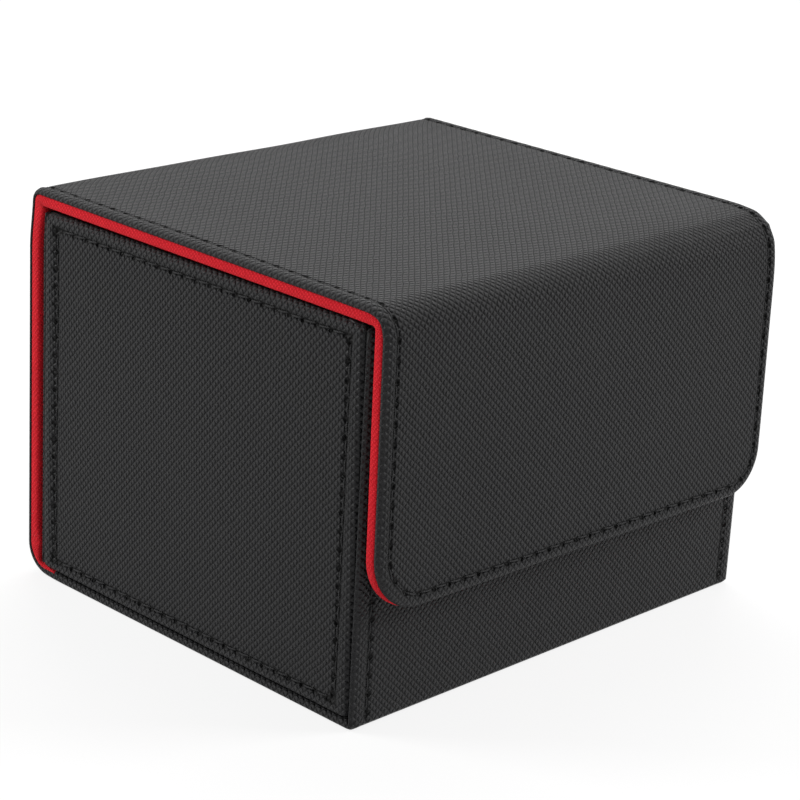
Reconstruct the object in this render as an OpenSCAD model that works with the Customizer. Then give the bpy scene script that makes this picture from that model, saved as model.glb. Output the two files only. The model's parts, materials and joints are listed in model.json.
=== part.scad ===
// Card deck box: a leather-covered tray for standing sleeved cards, with a wrap-round cover.
// One strip of embossed leather forms the tray front, the base, the back, the top and the flap.
// The back, top and flap carry boards wrapped in red microfibre, and fold along soft hinges.
// Origin: middle of the base on the table. +Z up, the flap faces -Y, +X to its right.

/* [Box] */
// Width across the flap, mm
box_width = 104; // [80:0.5:160]
// Depth from the flap face to the back face, mm
box_depth = 95.2; // [60:0.2:200]
// Height from the table to the top face, mm
box_height = 76.7; // [60:0.1:120]

/* [Cover] */
// Thickness of the cover leather, mm
cover_skin = 1.2; // [0.8:0.1:2]
// Thickness of the red wrapped board behind the leather of the top and flap, mm
cover_lining = 2.1; // [1.8:0.1:3]
// Thickness of the red wrapped board behind the leather of the back, mm
back_lining_t = 2.6; // [1.8:0.1:3]
// Thickness of the stiffening board inside the red wrap, mm
cover_board = 1.5; // [0.8:0.1:1.5]
// Gap between the cover and the tray at the top and front, mm
cover_gap = 0.8; // [0.6:0.1:2]
// Gap between the cover and the tray at the back, mm
back_gap = 0.3; // [0.3:0.1:1]
// Outer radius of the soft fold above the flap, mm
front_bend = 5.4; // [4:0.1:10]
// Outer radius of the fold at the top of the back, mm
rear_bend = 2.4; // [1.8:0.1:3.5]
// Length of each leg of that fold, mm
rear_leg = 3.9; // [3.9:0.1:6]
// Outer radius of the fold at the foot of the back, mm
base_bend = 5.8; // [5:0.1:7]
// Distance from the top face down to the flap's free edge, mm
flap_drop = 55; // [30:0.5:70]
// Radius of the flap's free corners, mm
flap_corner = 10.5; // [5:0.5:20]

/* [Tray] */
// Thickness of the base leather, mm
base_skin_t = 1.4; // [0.8:0.1:2.5]
// Thickness of the floor board, mm
base_board_t = 2; // [1:0.1:4]
// Thickness of the front wall's leather, mm
front_leather = 1.1; // [0.8:0.1:1.6]
// Thickness of the board in the front wall, mm
front_board_t = 1.5; // [1:0.1:3]
// Thickness of the back wall's leather strip with its board, mm
rear_strip = 1.6; // [1.2:0.1:3]
// Thickness of a side panel, mm
side_panel = 2.4; // [1.8:0.1:4]
// Thickness of the red lining on the tray walls, mm
wall_lining = 0.9; // [0.4:0.1:2]
// Thickness of the red lining on the floor, mm
floor_lining_t = 0.5; // [0.3:0.1:2]
// Outer radius of the leather where the front wall meets the base, mm
toe_bend = 2; // [1.8:0.1:6]
// Joint line between a side panel and its neighbours, mm
seam_gap = 0.35; // [0.1:0.05:1]
// Radius of a side panel's corners, mm
panel_corner = 1.4; // [0.5:0.1:5]

/* [Stitching] */
// Distance of the cover's stitch line from its edge, mm
cover_inset = 2.5; // [1.5:0.1:6]
// Distance of the front wall's stitch lines from the tray's sides, mm
front_inset = 3.5; // [1.5:0.1:6]
// Distance of the side panels' stitch line from the panel edge, mm
panel_inset = 2.6; // [1.5:0.1:6]
// Distance of the side panels' stitch line from the panel's front edge, mm
panel_front_inset = 3.3; // [1.5:0.1:6]
// Stitch spacing on the cover, mm
cover_pitch = 3.65; // [2:0.05:6]
// Stitch spacing on the tray, mm
tray_pitch = 3.5; // [2:0.05:6]
// Width of the pressed groove that holds a stitch line, mm
groove_w = 0.9; // [0.5:0.1:1.5]
// Depth of that groove, mm
groove_d = 0.4; // [0.2:0.05:0.5]
// Width of the thread, mm
thread_w = 0.55; // [0.3:0.05:0.8]
// Height of the thread, mm
thread_h = 0.35; // [0.2:0.05:0.5]

/* [Closure] */
// Diameter of the magnets in the flap, mm
magnet_d = 10; // [6:0.5:14]
// Thickness of the magnets in the flap, mm
magnet_t = 1.4; // [0.8:0.1:2]
// Distance between the two magnets, mm
magnet_span = 52; // [20:1:80]
// Height of the magnets above the flap's free edge, mm
magnet_rise = 13; // [8:0.5:30]
// Diameter of the steel discs in the front wall, mm
disc_d = 13; // [6:0.5:20]
// Thickness of the steel discs in the front wall, mm
disc_t = 0.8; // [0.4:0.1:1.2]

/* [Hidden] */
$fn = 64;
half_w = box_width / 2;
half_d = box_depth / 2;
cover_t = cover_skin + cover_lining;
front_face = -half_d + cover_t + cover_gap;
rear_face = half_d - cover_skin - back_lining_t - back_gap;
rim = box_height - cover_t - cover_gap;
flap_low = box_height - flap_drop;
flap_top = box_height - front_bend;
top_front = -half_d + front_bend;
top_rear = half_d - rear_leg;
back_low = base_bend;
back_top = box_height - rear_leg;
back_in = half_d - cover_skin - back_lining_t;
leather_in = front_face + front_leather;
front_in = leather_in + front_board_t;
rear_in = rear_face - rear_strip;
side_in = half_w - side_panel;
lining_in = side_in - wall_lining;
panel_low = base_skin_t + 0.4;
panel_front = leather_in + seam_gap;
panel_rear = rear_in - seam_gap;
panel_high = rim - 0.2;
floor_low = base_skin_t;
floor_high = floor_low + base_board_t;
lining_side = 0.4;
wrap = 1.5;
board_play = 0.05;
face_leather = 0.7;
rear_low = 2.6;
tuck_y = rear_face - 4.5;
tuck_t = 0.3;
magnet_z = flap_low + magnet_rise;
over = 0.02;

leather = [0.10, 0.10, 0.11];
red = [0.78, 0.10, 0.14];
greyboard = [0.55, 0.52, 0.48];
steel = [0.60, 0.61, 0.62];
thread = [0.03, 0.03, 0.03];

// ---- Helpers -------------------------------------------------------------

// Puts children on an upright face: x runs along it, y goes up and z points out of the box.
module on_face(turn, reach) {
  rotate([90, 0, turn]) translate([0, 0, reach]) children();
}

// A flat block between two opposite corners.
module block(a, b) {
  translate(a) cube(b - a);
}

// A plate with four round corners, from height h0 to h1.
module round_plate(a, b, r, h0, h1) {
  block([a[0] + r, a[1], h0], [b[0] - r, b[1], h1]);
  block([a[0], a[1] + r, h0], [b[0], b[1] - r, h1]);
  for (x = [a[0] + r, b[0] - r], y = [a[1] + r, b[1] - r]) {
    translate([x, y, h0]) cylinder(r = r, h = h1 - h0);
  }
}

// The flap's outline, drawn in from its edge, between heights h0 and h1.
module flap_plate(inset, h0, h1, high = flap_top) {
  w = half_w - inset;
  low = flap_low + inset;
  r = flap_corner - inset;
  block([-w, low + r, h0], [w, high, h1]);
  block([-w + r, low, h0], [w - r, low + r + over, h1]);
  for (x = [-w + r, w - r]) {
    translate([x, low + r, h0]) cylinder(r = r, h = h1 - h0);
  }
}

// A quarter of a ring about the X direction: a leather fold of half width w.
module quarter_fold(centre, ro, ri, w, side_y, side_z) {
  intersection() {
    translate([-w, centre[0], centre[1]]) rotate([0, 90, 0]) difference() {
      cylinder(r = ro, h = 2 * w);
      if (ri > 0) {
        translate([0, 0, -1]) cylinder(r = ri, h = 2 * w + 2);
      }
    }
    translate([0, centre[0] + side_y * ro, centre[1] + side_z * ro])
      cube([2 * w + 2, 2 * ro, 2 * ro], center = true);
  }
}

// A quarter of a rounded block that reaches a in both directions from its centre.
module quarter_block(centre, a, r, w) {
  y = centre[0];
  z = centre[1];
  block([-w, y, z], [w, y + a, z + a - r]);
  block([-w, y, z], [w, y + a - r, z + a]);
  intersection() {
    block([-w, y, z], [w, y + a, z + a]);
    translate([-w, y + a - r, z + a - r]) rotate([0, 90, 0]) cylinder(r = r, h = 2 * w);
  }
}

// The pressed groove of a stitch line round a fold.
module fold_groove(centre, ro, x) {
  translate([x - groove_w / 2, centre[0], centre[1]]) rotate([0, 90, 0]) difference() {
    cylinder(r = ro + 1, h = groove_w);
    translate([0, 0, -1]) cylinder(r = ro - groove_d, h = groove_w + 2);
  }
}

// One stitch, lying in its groove.
module stitch(length) {
  translate([0, 0, -groove_d + thread_h / 2 + 0.02])
    cube([length, thread_w, thread_h], center = true);
}

// A row of stitches from a to b on a face.
module stitch_row(a, b, pitch) {
  d = b - a;
  length = norm(d);
  count = max(1, round(length / pitch));
  step = length / count;
  for (i = [0:count - 1]) {
    translate([a[0], a[1], 0] + [d[0], d[1], 0] * ((i + 0.5) / count))
      rotate([0, 0, atan2(d[1], d[0])])
        stitch(step * 0.74);
  }
}

// Stitches round a corner of a face.
module stitch_arc(centre, r, from, to, count) {
  step = (to - from) / count;
  for (i = [0:count - 1]) {
    translate([centre[0], centre[1], 0])
      rotate([0, 0, from + step * (i + 0.5)])
        translate([r, 0, 0])
          rotate([0, 0, 90])
            stitch(r * step * PI / 180 * 0.7);
  }
}

// ---- Tray ----------------------------------------------------------------

module base_skin() {
  color(leather)
    block([-half_w, front_face + toe_bend, 0], [half_w, half_d - base_bend, base_skin_t]);
}

module base_board() {
  color(greyboard) difference() {
    block([-side_in + board_play, front_face + toe_bend + board_play, floor_low],
          [side_in - board_play, rear_in - board_play, floor_high]);
    block([-half_w, tuck_y - 0.1, floor_low - 1], [half_w, half_d, floor_low + tuck_t + 0.05]);
  }
}

module floor_lining() {
  color(red)
    block([-lining_in + 0.05, front_in + wall_lining + 0.05, floor_high],
          [lining_in - 0.05, rear_in - wall_lining - 0.05, floor_high + floor_lining_t]);
}

module front_skin() {
  color(leather) difference() {
    union() {
      on_face(0, -front_face)
        block([-half_w, toe_bend, -front_leather], [half_w, rim, 0]);
      quarter_fold([front_face + toe_bend, toe_bend], toe_bend, toe_bend - base_skin_t,
        half_w, -1, -1);
    }
    on_face(0, -front_face) {
      for (x = [-half_w + front_inset, half_w - front_inset]) {
        block([x - groove_w / 2, toe_bend, -groove_d], [x + groove_w / 2, rim - wrap, 1]);
      }
    }
  }
}

module front_board() {
  color(greyboard) on_face(0, -leather_in) difference() {
    block([-side_in + board_play, floor_high, -front_board_t], [side_in - board_play, rim - 0.3, 0]);
    for (x = [-magnet_span / 2, magnet_span / 2]) {
      translate([x, magnet_z, -disc_t - 0.2]) cylinder(d = disc_d + 0.3, h = front_board_t);
    }
  }
}

module front_discs() {
  color(steel) on_face(0, -leather_in) {
    for (x = [-magnet_span / 2, magnet_span / 2]) {
      translate([x, magnet_z, -disc_t - 0.1]) cylinder(d = disc_d, h = disc_t);
    }
  }
}

module front_lining() {
  color(red)
    block([-lining_in, front_in, floor_high], [lining_in, front_in + wall_lining, rim - 0.3]);
}

module front_stitching() {
  color(thread) on_face(0, -front_face) {
    for (x = [-half_w + front_inset, half_w - front_inset]) {
      stitch_row([x, toe_bend + 0.4], [x, rim - wrap - 0.4], tray_pitch);
    }
  }
}

module rear_skin() {
  color(leather) difference() {
    on_face(180, rear_face)
      block([-half_w + 0.3, rear_low, -rear_strip], [half_w - 0.3, rim, 0]);
    on_face(180, rear_face)
      block([-half_w + wrap, rear_low + wrap, -rear_strip - 1],
            [half_w - wrap, rim - wrap, -face_leather]);
  }
}

module rear_board() {
  color(greyboard) on_face(180, rear_face)
    block([-half_w + wrap + board_play, rear_low + wrap + board_play, -rear_strip],
          [half_w - wrap - board_play, rim - wrap - board_play, -face_leather]);
}

module rear_lining() {
  color(red)
    block([-lining_in, rear_in - wall_lining, floor_high], [lining_in, rear_in, rim - 0.3]);
}

// A side panel seen from outside: x runs from its fore edge, towards the box's other end.
module side_skin(fore, aft) {
  lo = min(fore, aft);
  hi = max(fore, aft);
  fore_in = fore + sign(aft - fore) * panel_front_inset;
  aft_in = aft - sign(aft - fore) * panel_inset;
  g_lo = min(fore_in, aft_in);
  g_hi = max(fore_in, aft_in);
  g = groove_w / 2;
  difference() {
    round_plate([lo, panel_low], [hi, panel_high], panel_corner, -side_panel, 0);
    block([lo + wrap, panel_low + wrap, -side_panel - 1],
          [hi - wrap, panel_high - wrap, -face_leather - 0.1]);
    difference() {
      block([g_lo - g, panel_low + panel_inset - g, -groove_d],
            [g_hi + g, panel_high - panel_inset + g, 1]);
      block([g_lo + g, panel_low + panel_inset + g, -groove_d - 1],
            [g_hi - g, panel_high - panel_inset - g, 2]);
    }
  }
}

module side_board(fore, aft) {
  lo = min(fore, aft) + wrap + board_play;
  hi = max(fore, aft) - wrap - board_play;
  block([lo, panel_low + wrap + board_play, -side_panel],
        [hi, panel_high - wrap - board_play, -face_leather - 0.1]);
}

module side_stitching(fore, aft) {
  fore_in = fore + sign(aft - fore) * panel_front_inset;
  aft_in = aft - sign(aft - fore) * panel_inset;
  lo = min(fore_in, aft_in);
  hi = max(fore_in, aft_in);
  low = panel_low + panel_inset;
  high = panel_high - panel_inset;
  stitch_row([lo, low], [hi, low], tray_pitch);
  stitch_row([lo, high], [hi, high], tray_pitch);
  stitch_row([lo, low], [lo, high], tray_pitch);
  stitch_row([hi, low], [hi, high], tray_pitch);
}

module left_skin() {
  color(leather) on_face(-90, half_w) side_skin(-panel_front, -panel_rear);
}

module left_board() {
  color(greyboard) on_face(-90, half_w) side_board(-panel_front, -panel_rear);
}

module left_lining() {
  color(red)
    block([-side_in, front_in, floor_high], [-lining_in, rear_in, rim - 0.3]);
}

module left_stitching() {
  color(thread) on_face(-90, half_w) side_stitching(-panel_front, -panel_rear);
}

module right_skin() {
  color(leather) on_face(90, half_w) side_skin(panel_front, panel_rear);
}

module right_board() {
  color(greyboard) on_face(90, half_w) side_board(panel_front, panel_rear);
}

module right_lining() {
  color(red)
    block([lining_in, front_in, floor_high], [side_in, rear_in, rim - 0.3]);
}

module right_stitching() {
  color(thread) on_face(90, half_w) side_stitching(panel_front, panel_rear);
}

// ---- Fold at the foot of the back -------------------------------------------

module base_fold_skin() {
  centre = [half_d - base_bend, base_bend];
  color(leather) difference() {
    quarter_fold(centre, base_bend, base_bend - cover_skin, half_w, 1, -1);
    for (x = [-half_w + cover_inset, half_w - cover_inset]) {
      fold_groove(centre, base_bend, x);
    }
  }
}

module base_fold_lining() {
  centre = [half_d - base_bend, base_bend];
  w = half_w - lining_side;
  color(red) {
    difference() {
      quarter_fold(centre, base_bend - cover_skin, 0, w, 1, -1);
      block([-half_w, centre[0] - 1, rear_low - 0.15], [half_w, back_in, base_bend + 1]);
      block([-half_w, centre[0] - 1, base_skin_t + tuck_t], [half_w, rear_in + 0.1, base_bend]);
    }
    block([-w, tuck_y, base_skin_t], [w, centre[0] + over, base_skin_t + tuck_t]);
  }
}

// ---- Cover: back -----------------------------------------------------------

module back_skin() {
  color(leather) on_face(180, half_d) difference() {
    block([-half_w, back_low, -cover_skin], [half_w, back_top, 0]);
    for (x = [-half_w + cover_inset, half_w - cover_inset]) {
      block([x - groove_w / 2, back_low - 1, -groove_d], [x + groove_w / 2, back_top + 1, 1]);
    }
  }
}

module back_board() {
  inset = lining_side + wrap + board_play;
  color(greyboard) on_face(180, half_d)
    block([-half_w + inset, back_low + wrap + board_play, -cover_skin - cover_board],
          [half_w - inset, back_top - wrap - board_play, -cover_skin]);
}

module back_lining() {
  w = half_w - lining_side;
  color(red) on_face(180, half_d) difference() {
    block([-w, back_low, -cover_skin - back_lining_t], [w, back_top, -cover_skin]);
    block([-w + wrap, back_low + wrap, -cover_skin - cover_board],
          [w - wrap, back_top - wrap, 0]);
  }
}

module back_stitching() {
  color(thread) on_face(180, half_d) {
    for (x = [-half_w + cover_inset, half_w - cover_inset]) {
      stitch_row([x, back_low + 0.3], [x, back_top - 0.3], cover_pitch);
    }
  }
}

// ---- Fold between the back and the top ---------------------------------------

module rear_fold_skin() {
  centre = [top_rear, back_top];
  g = groove_w / 2;
  color(leather) difference() {
    quarter_block(centre, rear_leg, rear_bend, half_w);
    translate([0, -over, -over])
      quarter_block(centre, rear_leg - cover_skin + over, rear_bend - cover_skin, half_w + 1);
    for (x = [-half_w + cover_inset, half_w - cover_inset]) {
      translate([x, 0, 0]) difference() {
        block([-g, centre[0] - 1, centre[1] - 1], [g, half_d + 1, box_height + 1]);
        translate([0, -2, -2]) quarter_block(centre, rear_leg - groove_d + 2, rear_bend - groove_d, 1);
      }
    }
  }
}

module rear_fold_lining() {
  color(red)
    quarter_block([top_rear, back_top], rear_leg - cover_skin, rear_bend - cover_skin,
      half_w - lining_side);
}

// ---- Cover: top -----------------------------------------------------------

module top_skin() {
  z = box_height;
  color(leather) difference() {
    block([-half_w, top_front, z - cover_skin], [half_w, top_rear, z]);
    for (x = [-half_w + cover_inset, half_w - cover_inset]) {
      block([x - groove_w / 2, top_front - 1, z - groove_d],
            [x + groove_w / 2, top_rear + 1, z + 1]);
    }
  }
}

module top_board() {
  inset = lining_side + wrap + board_play;
  z = box_height - cover_skin;
  color(greyboard)
    block([-half_w + inset, top_front + wrap + board_play, z - cover_board],
          [half_w - inset, top_rear - wrap - board_play, z]);
}

module top_lining() {
  w = half_w - lining_side;
  z = box_height;
  color(red) difference() {
    block([-w, top_front, z - cover_t], [w, top_rear, z - cover_skin]);
    block([-w + wrap, top_front + wrap, z - cover_skin - cover_board],
          [w - wrap, top_rear - wrap, z]);
  }
}

module top_stitching() {
  color(thread) translate([0, 0, box_height]) {
    for (x = [-half_w + cover_inset, half_w - cover_inset]) {
      stitch_row([x, top_front + 0.3], [x, top_rear - 0.3], cover_pitch);
    }
  }
}

// ---- Fold between the top and the flap ---------------------------------------

module front_fold_skin() {
  centre = [-half_d + front_bend, box_height - front_bend];
  color(leather) difference() {
    quarter_fold(centre, front_bend, front_bend - cover_skin, half_w, -1, 1);
    for (x = [-half_w + cover_inset, half_w - cover_inset]) {
      fold_groove(centre, front_bend, x);
    }
  }
}

module front_fold_lining() {
  centre = [-half_d + front_bend, box_height - front_bend];
  color(red)
    quarter_fold(centre, front_bend - cover_skin, front_bend - cover_t,
      half_w - lining_side, -1, 1);
}

// ---- Cover: flap -----------------------------------------------------------

module flap_skin() {
  g = groove_w / 2;
  color(leather) on_face(0, half_d) difference() {
    flap_plate(0, -cover_skin, 0);
    difference() {
      flap_plate(cover_inset - g, -groove_d, 1, flap_top + 1);
      flap_plate(cover_inset + g, -groove_d - 1, 2, flap_top + 2);
    }
  }
}

module flap_board() {
  color(greyboard) on_face(0, half_d) difference() {
    flap_plate(lining_side + wrap + board_play, -cover_skin - cover_board, -cover_skin,
      flap_top - wrap - board_play);
    for (x = [-magnet_span / 2, magnet_span / 2]) {
      translate([x, magnet_z, -cover_t - 1]) cylinder(d = magnet_d + 0.3, h = cover_t + 2);
    }
  }
}

module flap_magnets() {
  color(steel) on_face(0, half_d) {
    for (x = [-magnet_span / 2, magnet_span / 2]) {
      translate([x, magnet_z, -cover_skin - magnet_t - 0.1]) cylinder(d = magnet_d, h = magnet_t);
    }
  }
}

module flap_lining() {
  color(red) on_face(0, half_d) difference() {
    flap_plate(lining_side, -cover_t, -cover_skin);
    flap_plate(lining_side + wrap, -cover_skin - cover_board, 0, flap_top - wrap);
  }
}

module flap_stitching() {
  w = half_w - cover_inset;
  low = flap_low + cover_inset;
  r = flap_corner - cover_inset;
  color(thread) on_face(0, half_d) {
    stitch_row([-w + r, low], [w - r, low], cover_pitch);
    stitch_row([-w, low + r], [-w, flap_top - 0.3], cover_pitch);
    stitch_row([w, low + r], [w, flap_top - 0.3], cover_pitch);
    stitch_arc([-w + r, low + r], r, 180, 270, 3);
    stitch_arc([w - r, low + r], r, 270, 360, 3);
  }
}

// ---- Output ----------------------------------------------------------------

base_skin();
base_board();
floor_lining();
front_skin();
front_board();
front_discs();
front_lining();
front_stitching();
rear_skin();
rear_board();
rear_lining();
left_skin();
left_board();
left_lining();
left_stitching();
right_skin();
right_board();
right_lining();
right_stitching();
base_fold_skin();
base_fold_lining();
back_skin();
back_board();
back_lining();
back_stitching();
rear_fold_skin();
rear_fold_lining();
top_skin();
top_board();
top_lining();
top_stitching();
front_fold_skin();
front_fold_lining();
flap_skin();
flap_board();
flap_magnets();
flap_lining();
flap_stitching();
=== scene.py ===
"""Card deck box: leather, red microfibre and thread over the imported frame."""
import json
import math
import bpy
import bmesh
import numpy as np
from mathutils import Matrix, Vector

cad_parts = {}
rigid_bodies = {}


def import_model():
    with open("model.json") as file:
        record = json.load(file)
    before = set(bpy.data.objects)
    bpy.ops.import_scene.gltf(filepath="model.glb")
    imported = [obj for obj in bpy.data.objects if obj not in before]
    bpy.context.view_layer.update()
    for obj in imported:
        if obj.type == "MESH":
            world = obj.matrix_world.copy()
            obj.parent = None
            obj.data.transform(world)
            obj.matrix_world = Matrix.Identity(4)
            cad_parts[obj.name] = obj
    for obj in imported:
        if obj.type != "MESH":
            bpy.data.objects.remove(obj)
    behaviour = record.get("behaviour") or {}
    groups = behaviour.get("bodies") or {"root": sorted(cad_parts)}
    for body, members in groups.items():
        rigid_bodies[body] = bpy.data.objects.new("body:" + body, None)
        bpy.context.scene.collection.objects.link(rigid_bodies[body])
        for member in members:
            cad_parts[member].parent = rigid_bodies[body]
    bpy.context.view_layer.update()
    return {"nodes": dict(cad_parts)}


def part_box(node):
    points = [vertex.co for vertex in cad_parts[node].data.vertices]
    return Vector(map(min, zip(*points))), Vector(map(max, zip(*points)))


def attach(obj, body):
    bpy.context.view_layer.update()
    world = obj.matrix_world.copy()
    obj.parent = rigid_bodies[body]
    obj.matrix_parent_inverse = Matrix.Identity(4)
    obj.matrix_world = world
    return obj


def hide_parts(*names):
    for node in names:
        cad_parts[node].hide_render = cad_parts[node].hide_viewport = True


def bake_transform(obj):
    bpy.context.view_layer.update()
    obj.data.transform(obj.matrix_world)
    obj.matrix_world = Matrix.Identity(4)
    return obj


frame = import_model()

MM = 0.001

# ---------------------------------------------------------------- frame sizes, mm


def cad(node):
    lo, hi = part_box(node)
    return [v / MM for v in lo], [v / MM for v in hi]


top_lo, top_hi = cad("top_skin")
back_lo, back_hi = cad("back_skin")
flap_lo, flap_hi = cad("flap_skin")
front_lo, front_hi = cad("front_skin")
rear_lo, rear_hi = cad("rear_skin")
left_lo, left_hi = cad("left_skin")
floor_lo, floor_hi = cad("floor_lining")
fl_lo, fl_hi = cad("front_lining")
rl_lo, rl_hi = cad("rear_lining")
ll_lo, ll_hi = cad("left_lining")

HW = top_hi[0]                  # half width
HD = back_hi[1]                 # half depth
H = top_hi[2]                   # height
BEND_F = H - flap_hi[2]         # front fold radius
BEND_B = back_lo[2]             # base fold radius
BEND_R = 2.4                    # rear fold radius
FACE = front_lo[1]              # front wall face
RIM = front_hi[2]               # top of the front wall
PITCH = 3.65                    # cover stitches
TPITCH = 3.5                    # tray stitches
D_ST = 2.5                      # stitch line level in every edge profile
SKIN = 1.2                      # leather that the edge profiles are drawn for
BASE_SKIN = 1.65                # leather under the base
WALL_SKIN = 1.1                 # leather of the tray's walls
BACK_RED = 2.6                  # board and lining of the back
LEAN = 0.85                     # how far the back leans in at the top
STAND_OFF = 0.42                # how far the flap's free edge stands off


def smooth(a, b, x):
    t = np.clip((np.asarray(x, float) - a) / (b - a), 0, 1)
    return t * t * (3 - 2 * t)


# ---------------------------------------------------------------- paths in the YZ plane


class Path:
    """A run of lines and arcs, outer surface, as a table of place and outward normal."""

    def __init__(self, start, parts):
        y, z = start
        rows = []
        s = 0.0
        for part in parts:
            if part[0] == "line":
                y1, z1 = part[1]
                length = math.hypot(y1 - y, z1 - z)
                ny, nz = part[2]
                n = max(2, int(length / 0.5))
                for k in range(n + 1):
                    t = k / n
                    rows.append((s + length * t, y + (y1 - y) * t, z + (z1 - z) * t, ny, nz))
                y, z = y1, z1
            else:
                (cy, cz), r, a0, a1 = part[1:]
                length = r * math.radians(abs(a1 - a0))
                for k in range(33):
                    t = k / 32
                    a = math.radians(a0 + (a1 - a0) * t)
                    rows.append((s + length * t, cy + r * math.cos(a), cz + r * math.sin(a),
                                 math.cos(a), math.sin(a)))
                y, z = rows[-1][1], rows[-1][2]
            s += length
        self.table = np.array(rows)
        self.length = s

    def at(self, s):
        t = self.table
        return [np.interp(s, t[:, 0], t[:, k]) for k in (1, 2, 3, 4)]


cover = Path((0, 0), [
    ("line", (HD - BEND_B, 0), (0, -1)),
    ("arc", (HD - BEND_B, BEND_B), BEND_B, -90, 0),
    ("line", (HD, H - BEND_R), (1, 0)),
    ("arc", (HD - BEND_R, H - BEND_R), BEND_R, 0, 90),
    ("line", (-HD + BEND_F, H), (0, 1)),
    ("arc", (-HD + BEND_F, H - BEND_F), BEND_F, 90, 180),
    ("line", (-HD, flap_lo[2]), (-1, 0))])
S_BASE = HD - BEND_B
S_BACK0 = S_BASE + math.pi / 2 * BEND_B
S_BACK1 = S_BACK0 + H - BEND_R - BEND_B
S_TOP0 = S_BACK1 + math.pi / 2 * BEND_R
S_TOP1 = S_TOP0 + 2 * HD - BEND_R - BEND_F
S_END = cover.length

TOE = 1.0
tray_strip = Path((FACE, RIM), [
    ("line", (FACE, TOE), (-1, 0)),
    ("arc", (FACE + TOE, TOE), TOE, 180, 270),
    ("line", (0, 0), (0, -1))])


# ---------------------------------------------------------------- shape of the real thing


def settle(x, y, z):
    """How the box has settled: its soft folds give and the back leans in at the top."""
    x, y, z = (np.asarray(v, float) for v in (x, y, z))
    fy, fz = y + HD, H - z
    # the back's last stretch leans in
    y = y - LEAN * smooth(65, 75.5, z) * smooth(40.5, 45.5, y)
    # the flap stands off a little towards its free edge, which hangs a little askew
    outside = smooth(FACE - 0.4, FACE - 0.7, y)
    flap = outside * smooth(0, 14, fz)
    y = y - STAND_OFF * smooth(H - 6, flap_lo[2] + 4, z) * outside
    z = z + flap * smooth(60, 26, z) * (0.1 - 0.5 * x / HW)
    # the front fold is softer towards +X
    soft = smooth(-HW, HW, x)
    near = np.exp(-((fy - fz) / 6.5) ** 2) * np.exp(-(np.minimum(fy, fz) / 3.2) ** 2)
    give = near * (0.15 + 0.95 * soft + 0.5 * soft ** 3) * (fy < 20) * (fz < 20)
    y = y + 0.75 * give
    z = z - 0.62 * give
    return x, y, z


def ripple(u, s, k=1.0):
    """Slow unevenness of a covered board, within about 0.1 mm."""
    return k * (0.05 * np.sin(u / 9.3 + 1.3) * np.sin(s / 12.7 + 0.7)
                + 0.04 * np.sin(u / 5.3 + s / 17.1 + 2.0)
                + 0.03 * np.sin(u / 21.0 - s / 7.9))


def fold_middle(s):
    """1 at the middle of the front fold and 0 at its ends, where its cut edges are squarer."""
    return np.sin(2 * np.clip((s - S_TOP1) / BEND_F, 0, math.pi / 2)) ** 4


def leather_t(s):
    """Thickness of the cover leather at its edge along the strip."""
    t = np.interp(s, [0, S_BASE - 8, S_BASE + 3, S_BACK0, S_BACK1, S_TOP0, S_TOP1, S_END],
                  [BASE_SKIN, BASE_SKIN, 1.25, 0.95, 0.95, 1.2, 1.46, 1.4])
    return t - 0.35 * fold_middle(s)


def to_thickness(h, t, drawn=SKIN, roll=0.3):
    """An edge height drawn for one thickness, made for thickness t. The roll keeps its shape."""
    return np.where(h < -roll, -roll + (h + roll) * (t - roll) / (drawn - roll), h)


def square(h, t):
    """An edge height on the base leather, whose cut edge is hardly rounded."""
    return np.interp(h, [-1.2, -.95, -.72, -.25, 0, .2], [-t, -t + .15, -.45, -.06, 0, .02])


def cover_at(u, s, h):
    """A point on the cover: across it, along it from the base's front edge, and out of it."""
    y, z, ny, nz = cover.at(s)
    flat = smooth(S_BASE + 2, S_BASE - 4, s)
    upright = to_thickness(h, leather_t(s))
    h = upright + (square(h, BASE_SKIN) - upright) * flat
    h = h + ripple(u, s) * smooth(0, 4, HW - abs(u)) * (1 - 0.8 * (s < S_BASE))
    return settle(u, y + ny * h, z + nz * h)


def cover_inner(s):
    """The red inner face of the cover along the strip."""
    y, z, ny, nz = cover.at(s)
    phi = np.clip((s - S_BASE) / BEND_B, 0, math.pi / 2)
    t_fold = np.interp(np.degrees(phi), [0, 31, 45, 60, 75, 90], [1.0, 0.72, 1.55, 2.1, 2.4, BACK_RED])
    t = np.where(s < S_BASE, 0.3 + 0.7 * smooth(S_BASE - 3, S_BASE, s), t_fold)
    t = np.where(s >= S_BACK0, BACK_RED, t)
    t = t + SKIN
    t = np.where(s > S_TOP0, np.interp(s, [S_TOP0, S_TOP1, S_END], [3.25, 3.45, 3.45]), t)
    t = t - 0.55 * fold_middle(s)
    py, pz = y - ny * t, z - nz * t
    # inside the tight rear corner the red is pinched into a crease
    k0, k1 = S_BACK1 - 1.5, S_TOP0 + 1.5
    ky = np.interp(s, [k0, S_BACK1, S_TOP0, k1], [HD - 3.8, HD - 3.8, HD - 3.88, HD - 3.95])
    kz = np.interp(s, [k0, S_BACK1, S_TOP0, k1], [H - 3.9, H - 3.45, H - 3.3, H - 3.25])
    pinch = (s > k0) & (s < k1)
    return np.where(pinch, ky, py), np.where(pinch, kz, pz)


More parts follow.
